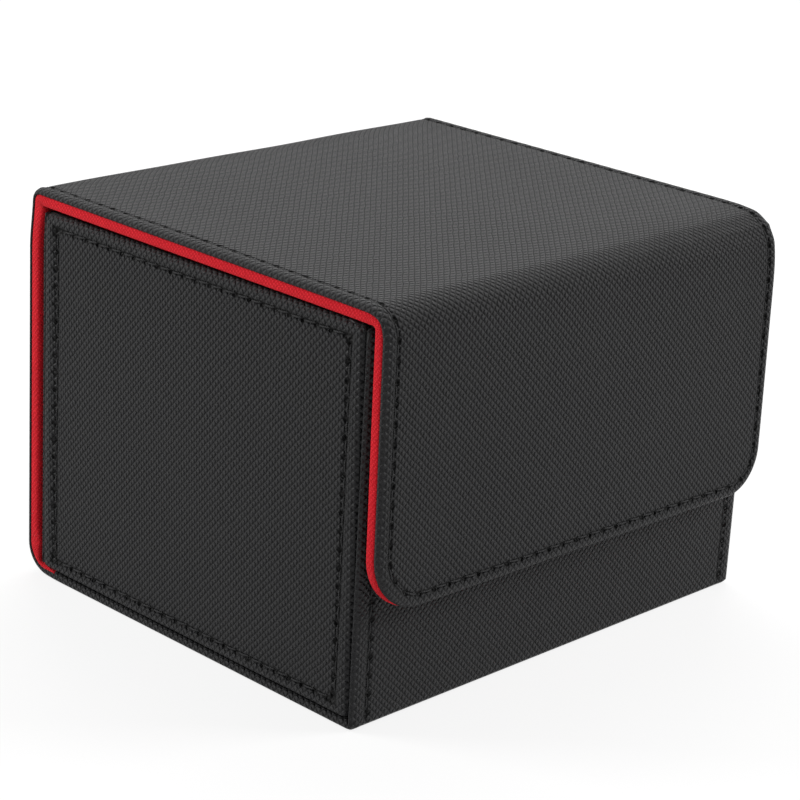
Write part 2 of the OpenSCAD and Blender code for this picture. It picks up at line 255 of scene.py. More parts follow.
def cover_lining_at(u, s, f):
    """f is 0 on the red inner face and -1 on the back of the leather."""
    y, z, ny, nz = cover.at(s)
    t = leather_t(s) - 0.06
    by, bz = y - ny * t, z - nz * t
    iy, iz = cover_inner(s)
    # the back's red edge is pressed thinner beside the tray
    iy = iy + 0.6 * smooth(46.5, 50.5, abs(u)) * smooth(S_BACK0, S_BACK0 + 4, s) * smooth(
        S_BACK1 - 1, S_BACK1 - 6, s)
    wave = ripple(u + 31, s + 11, 0.8) * smooth(0, 5, HW - abs(u)) * (s > S_BACK0 + 4)
    k = 1 + f + np.where(f > -0.05, wave * 0.4, 0)
    return settle(u, by + (iy - by) * k, bz + (iz - bz) * k)


def strip_at(u, s, h):
    """A point on the tray's leather: across it, down the front wall and back under the base."""
    y, z, ny, nz = tray_strip.at(s)
    upright = to_thickness(h, WALL_SKIN)
    h = upright + (square(h, BASE_SKIN) - upright) * smooth(RIM - TOE, RIM + TOE, s)
    h = h + ripple(u + 7, s + 3, 0.9) * smooth(0, 4, HW - abs(u)) * (z > 3)
    return settle(u, y + ny * h, z + nz * h)


# ---------------------------------------------------------------- mesh work

# Edge profiles: distance in from the edge and height, from the flat to the turned-under back.
THIN_EDGE = [(3.5, 0), (3.0, -.03), (2.75, -.14), (2.5, -.27), (2.25, -.15), (2.0, 0.0), (1.55, .09),
             (1.05, .06), (.62, -.07), (.32, -.25), (.12, -.47), (.02, -.72), (.05, -.95),
             (.2, -1.12), (.5, -1.2), (1.6, -1.2)]
PANEL_EDGE = [(3.5, 0), (3.0, -.04), (2.75, -.18), (2.5, -.34), (2.25, -.16), (2.0, .04), (1.5, .18),
              (1.0, .14), (.6, -.04), (.3, -.32), (.1, -.7), (0, -1.2), (.1, -1.7), (.4, -2.15),
              (.9, -2.38), (2.2, -2.4)]
RED_EDGE = [(1.5, 0), (1.0, 0), (.5, -.02), (.22, -.08), (.07, -.18), (0, -.32), (-.04, -.52),
            (0, -.74), (.08, -.9), (.25, -1.0), (1.3, -1.0)]
SOFT_EDGE = [(1.2, 0), (.8, -.03), (.45, -.12), (.2, -.28), (.05, -.5), (0, -.75), (0, -.95)]


class Sheet:
    """A leather or cloth sheet over place(u, s, h), with its edges turned under.

    sides gives, for L, R, T (low s) and B (high s), the edge's width scale, or None for a seam
    that runs on into the next piece. A corner radius over the profile's width makes a round
    corner in the rows; a smaller one is mitred in the rings."""

    def __init__(self, place, u, s, sides, profile, radius, cols, rows, groups=None,
                 sewn=None, puff=0.0):
        self.place, self.profile = place, profile
        self.u0, self.u1 = u
        self.s0, self.s1 = s
        self.k = sides
        self.wide = profile[0][0]
        self.radius = {"TL": 0, "TR": 0, "BL": 0, "BR": 0, **(radius or {})}
        self.sewn = sewn or (lambda u, s: np.ones_like(u))
        self.puff = puff
        self.verts, self.faces, self.uv, self.st = [], [], [], []
        self.core(cols, rows)
        self.chains = [self.chain(c, groups) for c in self.split()]

    def core(self, cols, rows):
        k, w = self.k, self.wide
        left = self.u0 + (w * k["L"] if k["L"] else 0)
        right = self.u1 - (w * k["R"] if k["R"] else 0)
        low = self.s0 + (w * k["T"] if k["T"] else 0)
        high = self.s1 - (w * k["B"] if k["B"] else 0)
        rl, rr = max(self.radius["BL"] - w, 0), max(self.radius["BR"] - w, 0)
        arcs = 16 if rl or rr else 0
        self.rows = []              # left point, left normal, right point, right normal, tag
        for i in range(rows + 1):
            t = i / rows
            sl, sr = low + (high - rl - low) * t, low + (high - rr - low) * t
            self.rows.append(((left, sl), (-1, 0), (right, sr), (1, 0), ""))
        for i in range(1, arcs + 1):
            a = math.pi / 2 * i / arcs
            c, n = math.cos(a), math.sin(a)
            self.rows.append(((left + rl - rl * c, high - rl + rl * n), (-c, n),
                              (right - rr + rr * c, high - rr + rr * n), (c, n), "arc"))
        self.n, self.m = len(self.rows) - 1, cols
        t = np.linspace(0, 1, cols + 1)
        pts = []
        for (l, _, r, _, _) in self.rows:
            pts.append(np.stack([l[0] + (r[0] - l[0]) * t, l[1] + (r[1] - l[1]) * t], 1))
        pts = np.array(pts)
        self.grid = pts
        u, s = pts[..., 0].ravel(), pts[..., 1].ravel()
        x, y, z = self.place(u, s, np.zeros_like(u))
        self.verts.append(np.stack([x, y, z], 1))
        flat = list(zip(u, s))
        m1 = cols + 1
        for i in range(self.n):
            for j in range(cols):
                a = i * m1 + j
                f = (a, a + 1, a + m1 + 1, a + m1)
                self.faces.append(f)
                self.uv.append([flat[v] for v in f])
                self.st.append([(0.0, 30.0)] * 4)

    @staticmethod
    def reach(d, k):
        """Distance in from the edge: only the flat border is widened, not the roll itself."""
        return d * (1 + (k - 1) * float(smooth(0.5, 2.3, d)))

    def corner(self, name, at, na, nb):
        """Mitred ring stations round one sharp core corner."""
        r = self.radius[name]
        ka, kb = self.k_of(na), self.k_of(nb)
        core = np.array(at)
        tip = core + np.array(na) * self.wide * ka + np.array(nb) * self.wide * kb
        out = []
        for i in range(5):
            a = math.pi / 2 * i / 4

            def spot(d, a=a):
                rd = max(r - d, 0)
                mid = tip - (np.array(na) * (self.reach(d, ka) + rd)
                             + np.array(nb) * (self.reach(d, kb) + rd))
                return mid + rd * (np.array(na) * math.cos(a) + np.array(nb) * math.sin(a))
            n = np.array(na) * math.cos(a) + np.array(nb) * math.sin(a)
            out.append((spot, n, name))
        return out

    def k_of(self, n):
        """Width scale of the side that faces n."""
        if abs(n[0]) > abs(n[1]):
            return self.k["L"] if n[0] < 0 else self.k["R"]
        return self.k["B"] if n[1] > 0 else self.k["T"]

    def side(self, tag):
        """Ring stations along one side, with any round corner at its end."""
        out = []
        if tag in "LR":
            rows = range(self.n + 1) if tag == "L" else range(self.n, -1, -1)
            for i in rows:
                l, nl, r, nr, kind = self.rows[i]
                at, n = (l, nl) if tag == "L" else (r, nr)
                name = tag if not kind else "B" + tag
                out.append((at, n, name))
        else:
            row = self.n if tag == "B" else 0
            cols = range(self.m + 1) if tag == "B" else range(self.m, -1, -1)
            for j in cols:
                out.append((tuple(self.grid[row, j]), (0, 1) if tag == "B" else (0, -1), tag))
        res = []
        for at, n, name in out:
            kx = (self.k["L"] if n[0] < 0 else self.k["R"]) or 1
            ky = (self.k["B"] if n[1] > 0 else self.k["T"]) or 1
            v = np.array(n, float)

            def spot(d, at=at, v=v, kx=kx, ky=ky):
                w = self.wide
                return np.array(at) + v * np.array([w * kx - self.reach(d, kx), w * ky - self.reach(d, ky)])
            res.append((spot, v, name))
        return res

    def split(self):
        """The runs of edge between seams, each with whether it closes on itself."""
        k = self.k
        turn = {"BL": ((-1, 0), (0, 1)), "BR": ((0, 1), (1, 0)),
                "TR": ((1, 0), (0, -1)), "TL": ((0, -1), (-1, 0))}

        def fan(name):
            if self.radius[name] > self.wide:
                return []
            i = self.n if name[0] == "B" else 0
            j = 0 if name[1] == "L" else self.m
            return self.corner(name, tuple(self.grid[i, j]), *turn[name])
        if k["T"] and k["B"]:
            loop = (self.side("L") + fan("BL") + self.side("B") + fan("BR") + self.side("R")
                    + fan("TR") + self.side("T") + fan("TL"))
            return [(loop, True)]
        if k["B"]:
            return [(self.side("L") + fan("BL") + self.side("B") + fan("BR") + self.side("R"), False)]
        if k["T"]:
            return [(self.side("R") + fan("TR") + self.side("T") + fan("TL") + self.side("L"), False)]
        return [(self.side("L"), False), (self.side("R"), False)]

    def chain(self, item, groups):
        """Build the rings round one run of edge and return its stitch line."""
        stations, closed = item
        names = [n for _, _, n in stations]
        q = np.array([spot(D_ST) for spot, _, _ in stations])
        step = np.r_[0, np.hypot(*(q[1:] - q[:-1]).T)]
        run = np.cumsum(step)
        along = np.zeros(len(stations))
        last = 0.0
        grouped = {}
        for tags, a0, a1 in groups or []:
            idx = [i for i, n in enumerate(names) if n in tags]
            if not idx:
                continue
            i0, i1 = idx[0], idx[-1]
            if len(tags) > 1 and i0 > 0:
                i0 -= 1
            if len(tags) > 1 and i1 < len(names) - 1:
                i1 += 1
            for i in range(i0, i1 + 1):
                along[i] = a0 + (a1 - a0) * (run[i] - run[i0]) / max(run[i1] - run[i0], 1e-9)
                grouped[i] = True
        for i in range(len(along)):
            if i in grouped:
                last = along[i]
            else:
                along[i] = last
        sewn = self.sewn(q[:, 0], q[:, 1])
        start = sum(len(v) for v in self.verts)
        rings, flats, marks = [], [], []
        length = np.zeros(len(stations))
        prev = None
        core = np.array([spot(self.wide) for spot, _, _ in stations])
        n = np.array([v for _, v, _ in stations])
        dip = 0.5 + 0.5 * np.cos(2 * math.pi * along)
        for d, h in self.profile:
            p = np.array([spot(d) for spot, _, _ in stations])
            hh = np.full(len(p), float(h))
            if D_ST - 0.6 < d < D_ST + 0.6:
                hh *= sewn
                if abs(d - D_ST) < 0.1:
                    hh = hh - 0.16 * dip * sewn
            elif 0.5 < d < D_ST:
                hh = hh + self.puff * (1 - dip) * sewn * math.sin(math.pi * d / D_ST)
            x, y, z = self.place(p[:, 0], p[:, 1], hh)
            here = np.stack([x, y, z], 1)
            if prev is not None:
                length = length + np.linalg.norm(here - prev, axis=1)
            prev = here
            flats.append(core + n * length[:, None])
            if d >= 0.3 and h > -0.4:
                flats[-1] = p
                length = np.hypot(*(p - core).T)
            marks.append(np.stack([along, d + (1 - sewn) * 20], 1))
            rings.append(here)
        for r in rings:
            self.verts.append(r)
        c = len(stations)
        for lv in range(len(rings) - 1):
            for i in range(c if closed else c - 1):
                b = (i + 1) % c
                ia, ib = start + lv * c + i, start + lv * c + b
                oa, ob = ia + c, ib + c
                self.faces.append((ia, ib, ob, oa))
                self.uv.append([flats[lv][i], flats[lv][b], flats[lv + 1][b], flats[lv + 1][i]])
                mb = marks[lv][b].copy(), marks[lv + 1][b].copy()
                if closed and b == 0:
                    mb[0][0] = mb[1][0] = marks[lv][i][0]
                self.st.append([marks[lv][i], mb[0], mb[1], marks[lv + 1][i]])
        return q, along, sewn

    def build(self, name, material, shift=(0, 0)):
        verts = np.concatenate(self.verts) * MM
        mesh = bpy.data.meshes.new(name)
        uvs, sts, faces = self.uv, self.st, self.faces
        # outward faces
        a = np.array(self.place(np.array([self.grid[1, 1, 0]]), np.array([self.grid[1, 1, 1]]),
                                np.array([0.0]))).ravel()
        b = np.array(self.place(np.array([self.grid[1, 1, 0]]), np.array([self.grid[1, 1, 1]]),
                                np.array([-0.5]))).ravel()
        f = faces[self.m + 1]
        v = verts[list(f)]
        if np.dot(np.cross(v[1] - v[0], v[3] - v[0]), a - b) < 0:
            faces = [g[::-1] for g in faces]
            uvs = [list(g)[::-1] for g in uvs]
            sts = [list(g)[::-1] for g in sts]
        mesh.from_pydata(verts.tolist(), [], faces)
        layer = mesh.uv_layers.new(name="UVMap")
        flat = np.array(uvs, float).reshape(-1, 2) + np.array(shift)
        layer.data.foreach_set("uv", flat.ravel())
        seam = mesh.uv_layers.new(name="Stitch")
        seam.data.foreach_set("uv", np.array(sts, float).ravel())
        bm = bmesh.new()
        bm.from_mesh(mesh)
        bmesh.ops.remove_doubles(bm, verts=bm.verts, dist=2e-6)
        bmesh.ops.dissolve_degenerate(bm, dist=1e-7, edges=bm.edges)
        bm.to_mesh(mesh)
        bm.free()
        return finish_object(name, mesh, material)


def unsewn(u, s):
    return np.zeros_like(u)


def finish_object(name, mesh, material):
    mesh.polygons.foreach_set("use_smooth", [True] * len(mesh.polygons))
    mesh.materials.append(material)
    obj = bpy.data.objects.new(name, mesh)
    bpy.context.scene.collection.objects.link(obj)
    return obj


def sew(name, place, chains, material, radius=0.19):
    """Thread: one twisted stitch from each needle hole to the next."""
    verts, faces, uvs = [], [], []
    sides = 8
    t = np.array([0.03, 0.07, 0.13, 0.24, 0.38, 0.5, 0.62, 0.76, 0.87, 0.93, 0.97])
    depth = np.array([-.85, -.55, -.27, -.11, -.03, 0, -.03, -.11, -.27, -.55, -.85])
    girth = np.array([.45, .75, .92, 1, 1, 1, 1, 1, .92, .75, .45])
    for q, along, sewn in chains:
        lo, hi = along.min(), along.max()
        order = np.argsort(along, kind="stable")
        xs = along[order]
        for k in range(math.ceil(lo - 1e-6), math.floor(hi + 1e-6)):
            if np.interp(k + 0.5, xs, sewn[order]) < 0.95:
                continue
            wob = math.sin(k * 12.9898) * 43758.5453
            wob = wob - math.floor(wob) - 0.5
            u = np.interp(k + t, xs, q[order, 0])
            s = np.interp(k + t, xs, q[order, 1])
            du, ds = u[-1] - u[0], s[-1] - s[0]
            length = math.hypot(du, ds)
            if length < 1.2:
                continue
            lean = (0.17 + 0.06 * wob) * (t - 0.5) * 2
            u = u - ds / length * lean
            s = s + du / length * lean
            h = -0.17 + depth + 0.03 * wob
            c = np.stack(place(u, s, h), 1)
            up = np.stack(place(u, s, h + 0.2), 1) - c
            along_dir = np.gradient(c, axis=0)
            along_dir /= np.linalg.norm(along_dir, axis=1)[:, None]
            side = np.cross(along_dir, up)
            side /= np.linalg.norm(side, axis=1)[:, None]
            up = np.cross(side, along_dir)
            start = len(verts)
            run = np.r_[0, np.cumsum(np.linalg.norm(np.diff(c, axis=0), axis=1))]
            for i in range(len(t)):
                for j in range(sides):
                    a = 2 * math.pi * j / sides
                    r = radius * girth[i]
                    verts.append(c[i] + side[i] * r * math.cos(a) + up[i] * r * math.sin(a))
            for i in range(len(t) - 1):
                for j in range(sides):
                    j2 = (j + 1) % sides
                    a, b = start + i * sides + j, start + i * sides + j2
                    faces.append((a, b, b + sides, a + sides))
                    uvs.append([(run[i], j / sides), (run[i], (j + 1) / sides),
                                (run[i + 1], (j + 1) / sides), (run[i + 1], j / sides)])
            for i, flip in ((0, True), (len(t) - 1, False)):
                ring = [start + i * sides + j for j in range(sides)]
                faces.append(tuple(ring[::-1] if flip else ring))
                uvs.append([(run[i], 0.5)] * sides)
    mesh = bpy.data.meshes.new(name)
    mesh.from_pydata((np.array(verts) * MM).tolist(), [], faces)
    layer = mesh.uv_layers.new(name="UVMap")
    layer.data.foreach_set("uv", np.array([p for f in uvs for p in f], float).ravel())
    bm = bmesh.new()
    bm.from_mesh(mesh)
    bmesh.ops.recalc_face_normals(bm, faces=bm.faces)
    bm.to_mesh(mesh)
    bm.free()
    return finish_object(name, mesh, material)


# ---------------------------------------------------------------- materials


class Tree:
    """Small helper round a material's node tree."""

    def __init__(self, name):
        self.mat = bpy.data.materials.new(name)
        self.mat.use_nodes = True
        self.t = self.mat.node_tree
        self.t.nodes.clear()
        self.out = self.t.nodes.new("ShaderNodeOutputMaterial")
        self.bsdf = self.t.nodes.new("ShaderNodeBsdfPrincipled")
        self.t.links.new(self.bsdf.outputs[0], self.out.inputs[0])

    def set(self, **kw):
        for key, value in kw.items():
            self.bsdf.inputs[key.replace("_", " ")].default_value = value

    def link(self, a, b):
        self.t.links.new(a, b)

    def node(self, kind, **kw):
        n = self.t.nodes.new(kind)
        for key, value in kw.items():
            setattr(n, key, value)
        return n

    def math(self, op, a, b=None, c=None, clamp=False):
        n = self.node("ShaderNodeMath", operation=op, use_clamp=clamp)
        for i, v in enumerate((a, b, c)):
            if v is None:
                continue
            if isinstance(v, (int, float)):
                n.inputs[i].default_value = v
            else:
                self.link(v, n.inputs[i])
        return n.outputs[0]

    def ramp(self, value, a, b, lo=0.0, hi=1.0):
        n = self.node("ShaderNodeMapRange", interpolation_type="SMOOTHSTEP")
        self.link(value, n.inputs[0])
        for i, v in enumerate((a, b, lo, hi)):
            n.inputs[i + 1].default_value = v
        return n.outputs[0]

    def uv(self, name):
        n = self.node("ShaderNodeUVMap", uv_map=name)
        s = self.node("ShaderNodeSeparateXYZ")
        self.link(n.outputs[0], s.inputs[0])
        return n.outputs[0], s.outputs[0], s.outputs[1]

    def noise(self, vector, scale, detail=2.0, rough=0.5):
        n = self.node("ShaderNodeTexNoise")
        self.link(vector, n.inputs["Vector"])
        n.inputs["Scale"].default_value = scale
        n.inputs["Detail"].default_value = detail
        n.inputs["Roughness"].default_value = rough
        return n.outputs[0]

    def mix(self, fac, a, b):
        n = self.node("ShaderNodeMix", data_type="RGBA")
        if isinstance(fac, (int, float)):
            n.inputs[0].default_value = fac
        else:
            self.link(fac, n.inputs[0])
        for i, v in ((6, a), (7, b)):
            if isinstance(v, tuple):
                n.inputs[i].default_value = (*v, 1.0)
            else:
                self.link(v, n.inputs[i])
        return n.outputs[2]

    def bump(self, height, distance, strength=1.0, normal=None):
        n = self.node("ShaderNodeBump")
        n.inputs["Strength"].default_value = strength
        n.inputs["Distance"].default_value = distance
        self.link(height, n.inputs["Height"])
        if normal:
            self.link(normal, n.inputs["Normal"])
        return n.outputs[0]


def leather_material(name, turn=0.0, sewn_pitch=PITCH):
    """Black artificial leather with a fine embossed diagonal lattice of small pillows."""
    m = Tree(name)
    uv, u, v = m.uv("UVMap")
    _, along, inset = m.uv("Stitch")
    wob = m.noise(uv, 0.35, 2.0)
    wob = m.math("MULTIPLY", m.math("SUBTRACT", wob, 0.5), 0.5)
    c, s = math.cos(math.radians(45 + turn)), math.sin(math.radians(45 + turn))
    a = m.math("ADD", m.math("ADD", m.math("MULTIPLY", u, c), m.math("MULTIPLY", v, s)), wob)
    b = m.math("ADD", m.math("SUBTRACT", m.math("MULTIPLY", v, c), m.math("MULTIPLY", u, s)), wob)
    ta = m.math("MULTIPLY", m.math("PINGPONG", a, 0.5), 2.0)
    tb = m.math("MULTIPLY", m.math("PINGPONG", b, 0.5), 2.0)
    # one small random value for each cell
    cell = m.node("ShaderNodeCombineXYZ")
    m.link(m.math("FLOOR", a), cell.inputs[0])
    m.link(m.math("FLOOR", b), cell.inputs[1])
    rnd = m.node("ShaderNodeTexWhiteNoise", noise_dimensions="2D")
    m.link(cell.outputs[0], rnd.inputs["Vector"])
    rnd = rnd.outputs["Value"]
    # painted shade: on the top the grooves of one direction are painted darker, on the upright faces those
    # of the other, following where the lamps light them
    flat_top = m.math("MULTIPLY", m.ramp(v, S_TOP0 - 2, S_TOP0 + 2), m.ramp(v, S_TOP1 + 6, S_TOP1 - 1))
    pa = m.ramp(ta, 0.0, 0.72)
    pb = m.ramp(tb, 0.0, 0.72)
    pillow = m.math("MULTIPLY", pa, pb)
    facet = m.math("SMOOTH_MIN", ta, tb, 0.25)
    grain = m.noise(uv, 5.5, 3.0, 0.6)
    height = m.math("ADD", m.math("MULTIPLY", pillow, 0.7), m.math("MULTIPLY", facet, 0.3))
    height = m.math("MULTIPLY", height, m.math("ADD", 0.75, m.math("MULTIPLY", rnd, 0.5)))
    # the lattice is rubbed flatter on the rolled border
    keep = m.ramp(inset, 0.1, 1.6, 0.55, 1.0)
    height = m.math("MULTIPLY", height, keep)
    height = m.math("ADD", height, m.math("MULTIPLY", grain, 0.22))
    # needle holes and the pulled-in line between them; they are pressed in by bump, and their darker colour
    # further down is painted shade
    dx = m.math("MULTIPLY", m.math("PINGPONG", along, 0.5), sewn_pitch)
    dy = m.math("SUBTRACT", inset, D_ST)
    dist = m.math("SQRT", m.math("ADD", m.math("MULTIPLY", dx, dx), m.math("MULTIPLY", dy, dy)))
    hole = m.ramp(dist, 0.38, 0.76, 1.0, 0.0)
    line = m.ramp(m.math("ABSOLUTE", dy), 0.12, 0.50, 1.0, 0.0)
    height = m.math("SUBTRACT", height, m.math("MULTIPLY", hole, 2.2))
    height = m.math("SUBTRACT", height, m.math("MULTIPLY", line, 0.5))
    wide = m.noise(uv, 0.06, 3.0, 0.55)
    normal = m.bump(wide, 0.0005, 0.35)
    normal = m.bump(height, 0.00050, 1.0, normal)
    m.link(normal, m.bsdf.inputs["Normal"])
    # painted shade in the lattice grooves: this mask darkens their colour and also raises their roughness
    groove_and_shade = m.math("MAXIMUM",
                    m.math("MULTIPLY", m.ramp(ta, 0.02, 0.34, 1.0, 0.0),
                           m.math("ADD", 0.7, m.math("MULTIPLY", flat_top, 0.3))),
                    m.math("MULTIPLY", m.ramp(tb, 0.02, 0.36, 1.0, 0.0),
                           m.math("SUBTRACT", 1.0, m.math("MULTIPLY", flat_top, 0.6))))
    groove_and_shade = m.math("MULTIPLY", groove_and_shade, keep)
    tone = m.math("ADD", m.math("MULTIPLY", rnd, 0.5), m.math("MULTIPLY", wide, 0.6))
    colour = m.mix(tone, (0.0074, 0.0074, 0.0082), (0.0138, 0.0138, 0.0150))
    # painted shade: the lattice grooves take a near-black colour
    colour = m.mix(m.math("MULTIPLY", groove_and_shade, 0.85), colour, (0.0015, 0.0015, 0.0016))
    rub = m.math("MULTIPLY", m.ramp(inset, 0.0, 0.5, 0.0, 1.0), m.ramp(inset, 0.7, 1.9, 1.0, 0.0))
    colour = m.mix(m.math("MULTIPLY", rub, 0.25), colour, (0.026, 0.026, 0.027))
    # painted shade in the stitch groove and inside the needle holes
    colour = m.mix(m.math("MULTIPLY", line, 0.6), colour, (0.004, 0.004, 0.0042))
    colour = m.mix(hole, colour, (0.0006, 0.0006, 0.0006))
    m.link(colour, m.bsdf.inputs["Base Color"])
    rough = m.math("ADD", 0.41, m.math("MULTIPLY", grain, 0.14))
    rough = m.math("ADD", rough, m.math("MULTIPLY", groove_and_shade, 0.25), clamp=True)
    m.link(rough, m.bsdf.inputs["Roughness"])
    m.set(Specular_IOR_Level=0.22)
    return m.mat


def red_material():
    """Red microfibre: a fine twill under a short brushed pile."""
    m = Tree("red_microfibre")
    uv, u, v = m.uv("UVMap")
    wob = m.math("MULTIPLY", m.math("SUBTRACT", m.noise(uv, 1.4, 2.0), 0.5), 0.55)
    a = m.math("ADD", m.math("ADD", m.math("MULTIPLY", u, 0.62), m.math("MULTIPLY", v, 0.78)), wob)
    b = m.math("ADD", m.math("SUBTRACT", m.math("MULTIPLY", u, 0.78), m.math("MULTIPLY", v, 0.62)), wob)
    ta = m.math("MULTIPLY", m.math("PINGPONG", a, 0.26), 3.85)
    tb = m.math("MULTIPLY", m.math("PINGPONG", b, 0.33), 3.03)
    weave = m.math("MULTIPLY", m.ramp(ta, 0.0, 0.8), m.ramp(tb, 0.0, 0.9))
    fibre = m.noise(uv, 9.0, 4.0, 0.7)
    pile = m.noise(uv, 0.22, 3.0, 0.6)
    height = m.math("ADD", m.math("MULTIPLY", weave, 0.6), m.math("MULTIPLY", fibre, 0.7))
    m.link(m.bump(height, 0.00016, 1.0), m.bsdf.inputs["Normal"])
    colour = m.mix(m.math("MULTIPLY", weave, 0.9), (0.66, 0.006, 0.014), (1.0, 0.028, 0.046))
    colour = m.mix(m.ramp(fibre, 0.45, 0.75), colour, (0.98, 0.040, 0.058))
    colour = m.mix(m.math("MULTIPLY", m.ramp(pile, 0.35, 0.7), 0.28), colour, (0.58, 0.009, 0.019))
    m.link(colour, m.bsdf.inputs["Base Color"])
    m.set(Roughness=0.92, Specular_IOR_Level=0.15, Sheen_Weight=0.12, Sheen_Roughness=0.45)
    m.bsdf.inputs["Sheen Tint"].default_value = (1.0, 0.35, 0.35, 1.0)
    return m.mat


def thread_material():
    """Black twisted polyester thread."""
    m = Tree("thread")
    uv, u, v = m.uv("UVMap")
    turn = m.math("ADD", m.math("MULTIPLY", u, 2.3), m.math("MULTIPLY", v, 2.0))
    ply = m.math("PINGPONG", turn, 0.5)
    fibre = m.noise(uv, 14.0, 3.0, 0.6)
    height = m.math("ADD", m.math("MULTIPLY", ply, 1.6), m.math("MULTIPLY", fibre, 0.4))
    m.link(m.bump(height, 0.00009, 0.9), m.bsdf.inputs["Normal"])
    # painted shade: the thread is darker where the twist dips between its plies
    colour = m.mix(m.ramp(ply, 0.05, 0.4), (0.003, 0.003, 0.0032), (0.015, 0.015, 0.016))
    m.link(colour, m.bsdf.inputs["Base Color"])
    m.set(Roughness=0.62, Specular_IOR_Level=0.3)
    return m.mat


def board_material():
    """Grey pressed board with fibres and flecks."""
    m = Tree("greyboard")
    co = m.node("ShaderNodeTexCoord").outputs["Object"]
    fibre = m.noise(co, 1500.0, 4.0, 0.7)
    cloud = m.noise(co, 120.0, 3.0, 0.5)
    fleck = m.ramp(m.noise(co, 900.0, 1.0), 0.62, 0.7)
    colour = m.mix(fibre, (0.20, 0.18, 0.155), (0.32, 0.29, 0.255))
    colour = m.mix(m.math("MULTIPLY", cloud, 0.4), colour, (0.26, 0.24, 0.21))
    colour = m.mix(m.math("MULTIPLY", fleck, 0.5), colour, (0.10, 0.09, 0.08))
    m.link(colour, m.bsdf.inputs["Base Color"])
    m.link(m.bump(fibre, 0.00005, 0.6), m.bsdf.inputs["Normal"])
    m.set(Roughness=0.88, Specular_IOR_Level=0.25)
    return m.mat


def metal_material(name, colour, rough, scale, stretch):
    """Bare or plated metal with a fine grain and faint stains."""
    m = Tree(name)
    co = m.node("ShaderNodeTexCoord").outputs["Object"]
    mp = m.node("ShaderNodeMapping")
    m.link(co, mp.inputs["Vector"])
    mp.inputs["Scale"].default_value = stretch
    brush = m.noise(mp.outputs[0], scale, 3.0, 0.6)
    stain = m.noise(co, 260.0, 3.0, 0.6)
    dark = tuple(c * 0.8 for c in colour)
    m.link(m.mix(m.math("MULTIPLY", stain, 0.7), colour, dark), m.bsdf.inputs["Base Color"])
    m.link(m.math("ADD", rough, m.math("MULTIPLY", brush, 0.2)), m.bsdf.inputs["Roughness"])
    m.link(m.bump(brush, 0.00001, 0.5), m.bsdf.inputs["Normal"])
    m.set(Metallic=1.0)
    return m.mat


black = leather_material("leather")
black_panel = leather_material("leather_left_panel", 2.2, TPITCH)
black_panel_r = leather_material("leather_right_panel", -1.4, TPITCH)
black_wall = leather_material("leather_wall", 0.0, TPITCH)
red = red_material()
cord = thread_material()
board = board_material()
steel = metal_material("steel", (0.56, 0.57, 0.58), 0.28, 900.0, (1, 12, 12))
nickel = metal_material("magnet", (0.66, 0.65, 0.62), 0.16, 1400.0, (1, 1, 1))

for node, obj in frame["nodes"].items():
    look = {"board": board, "discs": steel, "magnets": nickel}.get(node.split("_")[-1])
    if look:
        for slot in obj.material_slots:
            slot.material = look

# ---------------------------------------------------------------- the cover

STEP = PITCH / 4
s_back = round((S_BACK0 + S_BACK1) / 2 / STEP) * STEP       # seam halfway up the back
s_top = round((S_TOP0 + S_TOP1) / 2 / STEP) * STEP          # seam halfway along the top
R_LEFT, R_RIGHT = 11.0, 8.8                                 # the flap's free corners

# stitch count round the flap's free edge, so that the holes meet on both sides
a_left = (S_END - R_LEFT) / PITCH
a_right = (S_END - R_RIGHT) / PITCH
round_run = (math.pi / 2 * (R_LEFT - D_ST) + math.pi / 2 * (R_RIGHT - D_ST)
             + 2 * HW - R_LEFT - R_RIGHT)
whole = round(a_left + a_right + round_run / 3.7)


def fold_sewn(u, s):
    return smooth(S_BASE - 1.5, S_BASE + 0.5, s)


def cover_sheet(s0, s1, last=False, sewn=None):
    sides = {"L": 1.0, "R": 1.0, "T": None, "B": 1.0 if last else None}
    groups = [(("L",), s0 / PITCH, s1 / PITCH), (("R",), s1 / PITCH, s0 / PITCH)]
    rows = round((s1 - s0) / STEP)
    if last:
        groups = [(("L",), s0 / PITCH, a_left), (("BL", "B", "BR"), a_left, whole - a_right),
                  (("R",), whole - a_right, whole - s0 / PITCH)]
        rows = round((s1 - max(R_LEFT, R_RIGHT) - s0) / STEP)
    return Sheet(cover_at, (-HW, HW), (s0, s1), sides, THIN_EDGE,
                 {"BL": R_LEFT, "BR": R_RIGHT} if last else None, 108, rows, groups, sewn, 0.03)


base_sheet = cover_sheet(0, s_back, sewn=fold_sewn)
back_sheet = cover_sheet(s_back, s_top)
front_sheet = cover_sheet(s_top, S_END, last=True)

cover_base = base_sheet.build("cover_base_leather", black)
cover_back = back_sheet.build("cover_back_leather", black)
cover_front = front_sheet.build("cover_front_leather", black)
thread_base = sew("cover_base_thread", cover_at, base_sheet.chains, cord)
thread_back = sew("cover_back_thread", cover_at, back_sheet.chains, cord)
thread_front = sew("cover_front_thread", cover_at, front_sheet.chains, cord)

RED_IN = 0.08                   # the lining stops this far inside the leather's edge


def red_sheet(s0, s1, last=False, first=False):
    sides = {"L": 1.0, "R": 1.0, "T": 1.0 if first else None, "B": 1.0 if last else None}
    return Sheet(cover_lining_at, (-HW + RED_IN, HW - RED_IN), (s0, s1 + (0.2 if last else 0)), sides,
                 RED_EDGE, {"BL": R_LEFT - RED_IN, "BR": R_RIGHT - RED_IN} if last else None,
                 70, round((s1 - s0 - (R_LEFT if last else 0)) / 0.8))


red_base = red_sheet(S_BASE - 2.8, s_back, first=True).build("cover_base_lining", red)
red_back = red_sheet(s_back, s_top).build("cover_back_lining", red)
red_front = red_sheet(s_top, S_END, last=True).build("cover_front_lining", red)

for obj in (cover_base, thread_base, red_base):
    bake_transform(obj)
for obj in (cover_back, thread_back, red_back):
    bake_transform(obj)
for obj in (cover_front, thread_front, red_front):
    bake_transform(obj)

